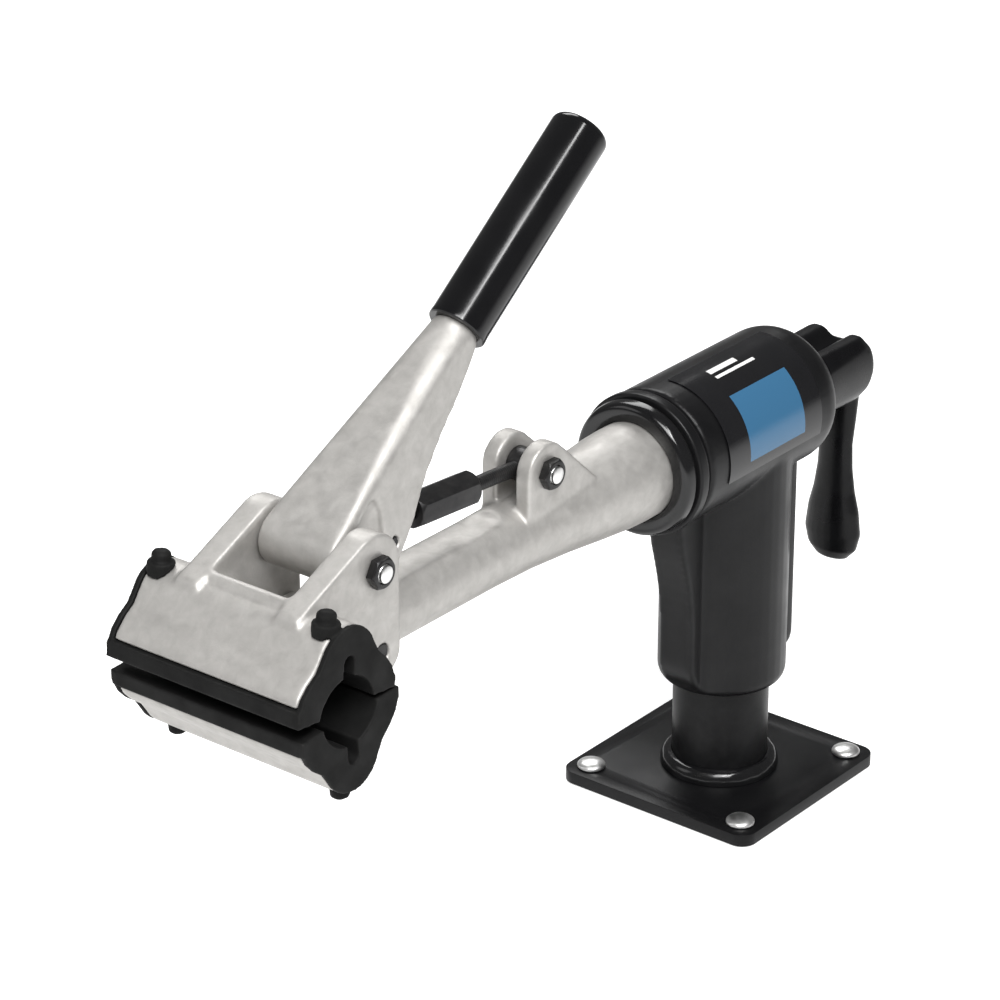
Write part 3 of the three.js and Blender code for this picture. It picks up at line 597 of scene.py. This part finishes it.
rear_rod = rounded_eye("link_rear_end", "rear_eye_rod", 9.5, 61.5)
hand_over(rear_rod, black_oxide, "link", "black_steel", "link_rear_end", angle=50)
front_rod = rounded_eye("link_front_end", "front_eye_rod", 70.5, 114)
hand_over(front_rod, black_oxide, "link", "black_steel", "link_front_end", angle=50)
hex_body = add("cylinder", "hex_adjuster", vertices=6, radius=9.8 * MM, depth=46 * MM, location=(0, 0, 67 * MM))
bpy.ops.object.transform_apply(location=True, rotation=True, scale=True)
ends = [(0, 43.9), (7.6, 43.9), (8.4, 44.3), (9.9, 47.2), (9.9, 86.8), (8.4, 89.7), (7.6, 90.1), (0, 90.1)]
cut_away(hex_body, turned("turned_ends", ends, steps=64), "INTERSECT")
cut_away(hex_body, turned("bore", [(0, 40), (4.9, 40), (4.35, 45), (4.35, 89), (4.9, 94), (0, 94)], steps=40))
modify(hex_body, "BEVEL", width=0.35 * MM, segments=3, limit_method="ANGLE", angle_limit=radians(30))
hand_over(lay_on_link(hex_body), black_oxide, "turnbuckle", "black_steel", "turnbuckle")

# %% [markdown]
# ## Printed label
# The label is a thin printed sheet wrapped over the barrel. An edge along the barrel is spun part of a
# turn, and Solidify gives the sheet its thickness. Its print is made of nodes from two distances on the
# sheet: one along the barrel and one round it. The print is deliberately plain: a coloured block and two
# bars, with no lettering.

# %% Label sheet
low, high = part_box("head_label")
LABEL_START, LABEL_SWEEP = radians(-4), radians(108)
barrel_z = pivot["clamp_rotate"].z
sheet_radius = 39.02 * MM
label = add("plane", "label_sheet", size=1)
for vertex, y in zip(label.data.vertices, (low.y, low.y, high.y, high.y)):
    vertex.co = (sheet_radius * sin(LABEL_START), y, sheet_radius * cos(LABEL_START))
with editing(label, "EDGE"):
    bpy.ops.mesh.select_all(action="SELECT")
    bpy.ops.mesh.remove_doubles(threshold=0.01 * MM)
    bpy.ops.mesh.select_all(action="SELECT")
    bpy.ops.mesh.spin(steps=60, angle=-LABEL_SWEEP, center=(0, 0, 0), axis=(0, 1, 0))
    bpy.ops.mesh.select_all(action="SELECT")
    bpy.ops.mesh.normals_make_consistent(inside=False)
place(label, (0, 0, barrel_z))
modify(label, "SOLIDIFY", thickness=0.3 * MM, offset=1.0)

# %% Label print
label_print = finish("label print", (0.005, 0.005, 0.006), (0.007, 0.007, 0.008), (0.1, 0.16), grain_mm=3,
                     bump_mm=0.004, blotch_mm=25)
tree = label_print.node_tree
spot = wire(tree, "ShaderNodeSeparateXYZ", Vector=tree.nodes.new("ShaderNodeTexCoord").outputs["Object"])
height = maths(tree, "SUBTRACT", spot.outputs["Z"], barrel_z)
around = maths(tree, "MULTIPLY", maths(tree, "ARCTAN2", spot.outputs["X"], height), 39.0)  # mm round from the top
length = maths(tree, "MULTIPLY", spot.outputs["Y"], 1000.0)  # mm along the barrel


def inside(tree, value, low, high):
    """1 where value lies between low and high."""
    return maths(tree, "MULTIPLY", maths(tree, "GREATER_THAN", value, low), maths(tree, "LESS_THAN", value, high))


def printed(tree, shade, mask, ink):
    layer = wire(tree, "ShaderNodeMix", {"data_type": "RGBA"}, Factor=mask)
    tree.links.new(shade, layer.inputs[6])
    layer.inputs[7].default_value = (*ink, 1)
    return layer.outputs[2]


BLUE, WHITE = (0.035, 0.125, 0.235), (0.8, 0.8, 0.79)
PANELS = (((-34, 16), (26, 64), BLUE), ((-30, 4), (12, 14), WHITE), ((-30, -6), (6, 9.5), WHITE))
surface = tree.nodes["Principled BSDF"]
ink = surface.inputs["Base Color"].links[0].from_socket
for along, round_it, colour in PANELS:
    panel = maths(tree, "MULTIPLY", inside(tree, length, *along), inside(tree, around, *round_it))
    ink = printed(tree, ink, panel, colour)
tree.links.new(ink, surface.inputs["Base Color"])
hand_over(label, label_print, "stand", "label_print", "head_label")

# %% [markdown]
# ## Pieces that keep their CAD mesh
# The bushes, the lock screw and the set screws sit inside the head. Their CAD meshes are right as they are,
# so they only get a finish.

# %% Hidden pieces
kept = {"front_bush": bronze, "rear_bush": bronze, "lock_screw": black_oxide, "post_set_screw_1": black_oxide,
        "post_set_screw_2": black_oxide}
for node, material in kept.items():
    frame["nodes"][node].data.materials.clear()
    frame["nodes"][node].data.materials.append(material)
print("kept from CAD", sorted(kept))

# %% [markdown]
# ## Floor and light
# A pale floor and large soft lights, as in a product studio. The main light is overhead and to the right, a
# long strip on the right gives the grip its narrow highlight, and a light behind lifts the upper edges. The
# left stays darker so that the silver castings show their form. The floor glows white for the camera but
# only faintly for everything else, so it stays pale without lighting the stand from below.

# %% Floor
floor = add("grid", "floor", x_subdivisions=8, y_subdivisions=8, size=30, location=(0, 0, -0.0006))
bpy.ops.object.transform_apply(location=True, rotation=True, scale=True)
floor_paint = bpy.data.materials.new("pale floor")
floor_paint.use_nodes = True
shell = floor_paint.node_tree.nodes["Principled BSDF"]
shell.inputs["Base Color"].default_value = (0.93, 0.93, 0.93, 1)
shell.inputs["Roughness"].default_value = 0.9
shell.inputs["Specular IOR Level"].default_value = 0.1
shell.inputs["Emission Color"].default_value = (1, 1, 1, 1)
tree = floor_paint.node_tree
seen = tree.nodes.new("ShaderNodeLightPath").outputs["Is Camera Ray"]
tree.links.new(remap(tree, seen, 0.0, 1.0, 0.12, 0.5), shell.inputs["Emission Strength"])
floor.data.materials.append(floor_paint)


# %% Lights
def softbox(name, direction, distance, size, power, along=(0, 0, 1), target=(0, -0.2, 0.3)):
    """A rectangular area light facing the target, its long side lying along the given direction."""
    light = bpy.data.lights.new(name, "AREA")
    light.shape, light.size, light.size_y, light.energy = "RECTANGLE", *size, power
    holder = bpy.data.objects.new(name, light)
    bpy.context.scene.collection.objects.link(holder)
    z = Vector(direction).normalized()
    x = Vector(along).cross(z).normalized()
    turn = Matrix((x, z.cross(x), z)).transposed()
    holder.location, holder.rotation_euler = Vector(target) + z * distance, turn.to_euler()


softbox("key", (0.45, -0.5, 0.8), 2.8, (1.5, 1.5), 90)
softbox("strip", (0.546, -0.18, 0.818), 2.0, (0.2, 1.3), 17, along=(0, cos(LEVER_TILT), sin(LEVER_TILT)))
softbox("left fill", (-0.8, -0.8, 0.5), 2.4, (1.2, 1.0), 5)
softbox("back light", (-0.5, 0.5, 0.7), 2.4, (1.4, 1.0), 28)
world = bpy.data.worlds.new("studio")
bpy.context.scene.world = world
world.use_nodes = True
world.node_tree.nodes["Background"].inputs["Color"].default_value = (1, 1, 1, 1)
world.node_tree.nodes["Background"].inputs["Strength"].default_value = 0.18
bpy.context.scene.view_settings.view_transform = "Standard"
